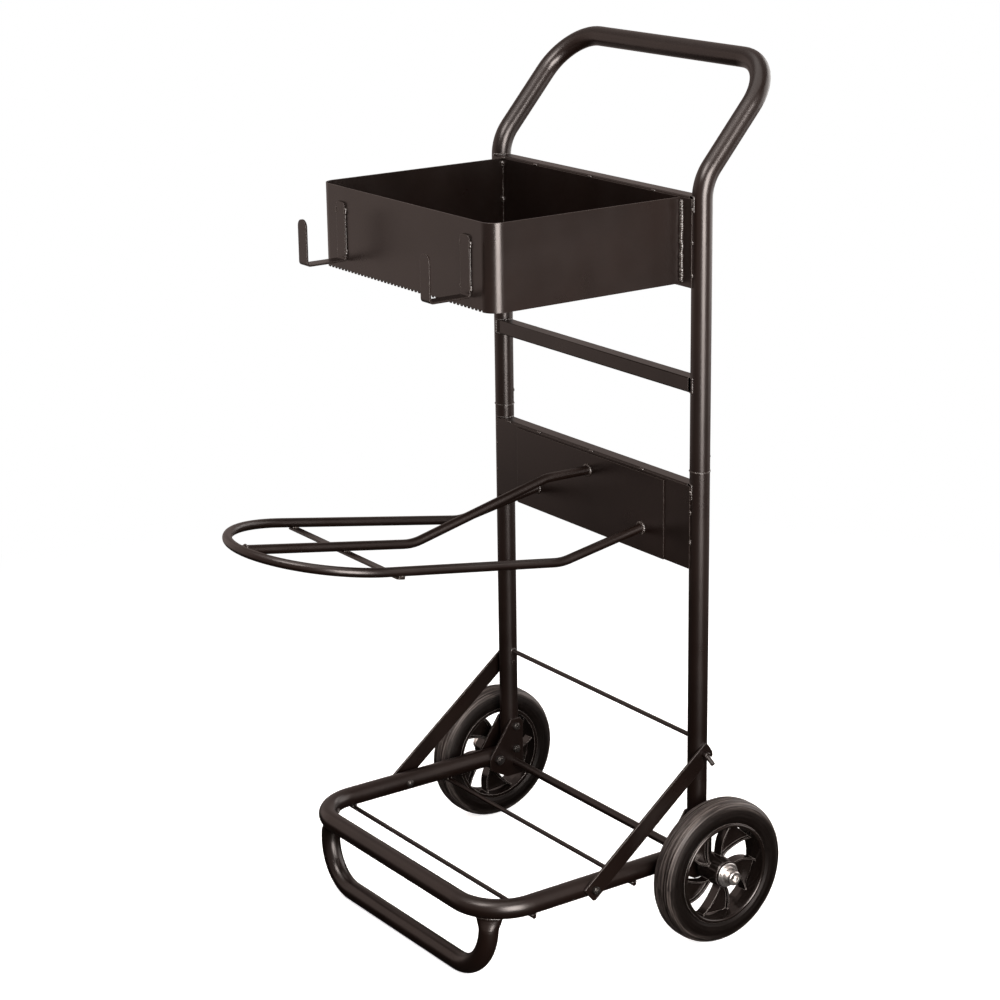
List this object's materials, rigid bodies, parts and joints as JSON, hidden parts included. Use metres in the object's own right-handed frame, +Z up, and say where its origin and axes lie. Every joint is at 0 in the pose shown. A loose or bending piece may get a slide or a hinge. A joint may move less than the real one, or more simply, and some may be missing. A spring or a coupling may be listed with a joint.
{
  "type": "oxy acetylene torch cart",
  "caption": "Two-wheeled tubular hand cart for a small welding cylinder pair, with an open tool tray, hose hooks, a cylinder hoop and a fold-up platform on hooked braces.",
  "frame": {"origin": "bottom centre of the bounding box, on the floor under the tray", "axes": "+X runs along the wheel axle, to the right of a viewer who faces the front of the cart; +Y points to the back, where the handle is, and -Y to the front, where the hoop and the platform are; +Z is up"},
  "size_m": [0.6098, 0.7101, 1.1924],
  "materials": {
    "powder_coat": "satin black powder coat",
    "black_fasteners": "black oxide steel",
    "zinc": "bright zinc plate",
    "tyre_rubber": "matt solid rubber",
    "wheel_plastic": "moulded black plastic",
    "nylon": "plain moulded nylon",
    "spring_steel": "blued spring strip"
  },
  "bodies": {
    "frame": {"upper_frame": "powder_coat", "lower_upright_left": "powder_coat", "lower_upright_right": "powder_coat", "middle_crossbar": "powder_coat", "plate_rail": "powder_coat", "tray_rail": "powder_coat", "hoop_back_plate": "powder_coat", "hoop_mount_plate": "powder_coat", "tray_back_plate": "powder_coat", "tray_shell": "powder_coat", "tray_floor": "powder_coat", "hose_hook_left": "powder_coat", "hose_hook_right": "powder_coat", "hoop_outer_tube": "powder_coat", "hoop_centre_tube": "powder_coat", "hoop_cross_strap": "powder_coat", "tie_rod": "powder_coat", "bracket_inner_left": "powder_coat", "bracket_inner_right": "powder_coat", "bracket_outer_left": "powder_coat", "bracket_outer_right": "powder_coat", "hook_pin_left": "powder_coat", "hook_pin_right": "powder_coat", "frame_bolts": "black_fasteners", "pivot_bolts": "black_fasteners", "axle": "powder_coat", "axle_spacers": "black_fasteners", "axle_washers": "zinc", "axle_bolts": "zinc"},
    "platform": {"platform_frame": "powder_coat", "platform_front_rod": "powder_coat", "platform_middle_rod": "powder_coat", "foot_loop": "powder_coat", "brace_bolts": "black_fasteners"},
    "brace_left": {"brace_left": "powder_coat"},
    "brace_right": {"brace_right": "powder_coat"},
    "wheel_left": {"tyre_left": "tyre_rubber", "wheel_centre_left": "wheel_plastic", "wheel_bushes_left": "nylon"},
    "snap_button_left": {"snap_button_left": "black_fasteners", "snap_spring_left": "spring_steel"},
    "wheel_right": {"tyre_right": "tyre_rubber", "wheel_centre_right": "wheel_plastic", "wheel_bushes_right": "nylon"},
    "snap_button_right": {"snap_button_right": "black_fasteners", "snap_spring_right": "spring_steel"}
  },
  "joints": [
    {"name": "platform_fold", "type": "hinge", "parent": "frame", "child": "platform", "pos_m": [0, 0.18677, 0.1135], "axis": [-1, 0, 0], "range_deg": [0, 90]},
    {"name": "brace_left_swing", "type": "hinge", "parent": "platform", "child": "brace_left", "pos_m": [-0.2369, 0.03127, 0.1135], "axis": [1, 0, 0], "range_deg": [0, 142]},
    {"name": "brace_right_swing", "type": "hinge", "parent": "platform", "child": "brace_right", "pos_m": [0.2369, 0.03127, 0.1135], "axis": [1, 0, 0], "range_deg": [0, 142]},
    {"name": "wheel_left_spin", "type": "hinge", "parent": "frame", "child": "wheel_left", "pos_m": [-0.266, 0.21827, 0.1016], "axis": [1, 0, 0], "continuous": true},
    {"name": "wheel_right_spin", "type": "hinge", "parent": "frame", "child": "wheel_right", "pos_m": [0.266, 0.21827, 0.1016], "axis": [1, 0, 0], "continuous": true},
    {"name": "snap_button_left_press", "type": "slide", "parent": "frame", "child": "snap_button_left", "axis": [0, -1, 0], "range_m": [0, 0.003], "stiffness_N_per_m": 1500, "springref_m": -0.002},
    {"name": "snap_button_right_press", "type": "slide", "parent": "frame", "child": "snap_button_right", "axis": [0, -1, 0], "range_m": [0, 0.003], "stiffness_N_per_m": 1500, "springref_m": -0.002}
  ],
  "couplings": [
    {"joint": "brace_left_swing", "follows": "platform_fold", "ratio": 1.57},
    {"joint": "brace_right_swing", "follows": "platform_fold", "ratio": 1.57}
  ]
}
